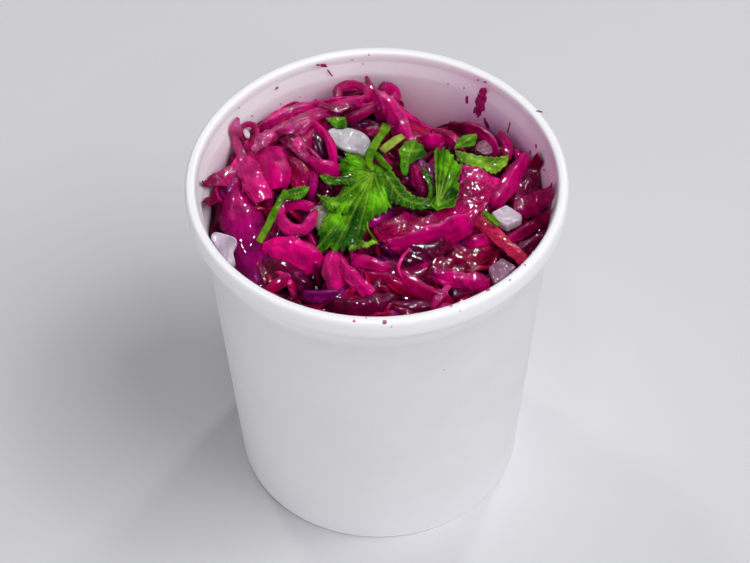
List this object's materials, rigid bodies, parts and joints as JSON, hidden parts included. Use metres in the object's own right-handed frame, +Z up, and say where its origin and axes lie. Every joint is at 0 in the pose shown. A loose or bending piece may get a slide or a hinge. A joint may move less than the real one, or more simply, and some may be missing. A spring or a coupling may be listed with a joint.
{
  "type": "red cabbage slaw in a paper cup",
  "caption": "Round white paper cup with a rolled rim, filled with shredded red cabbage slaw and topped with a parsley sprig and onion pieces.",
  "frame": {"origin": "middle of the cup's foot, on the surface it stands on", "axes": "+Z up out of the cup's mouth, -Y towards the eater, +X to the eater's right"},
  "size_m": [0.098, 0.098, 0.101],
  "materials": {
    "paper": "white coated paper, satin",
    "cabbage": "wet dressed red cabbage",
    "leaf": "fresh flat parsley leaf",
    "stem": "fresh parsley stem, satin",
    "onion": "raw onion, wet and slightly see-through"
  },
  "bodies": {
    "root": {"cup": "paper", "slaw": "cabbage", "sprig": "leaf", "leaf_back": "leaf", "leaf_blade": "leaf", "leaf_small": "leaf", "leaf_slice": "leaf", "leaf_far": "leaf", "stem_left": "stem", "stem_pale": "stem", "stem_bit": "stem", "onion_back": "onion", "onion_right": "onion", "onion_front": "onion", "onion_left": "onion", "onion_mid": "onion"}
  },
  "joints": []
}
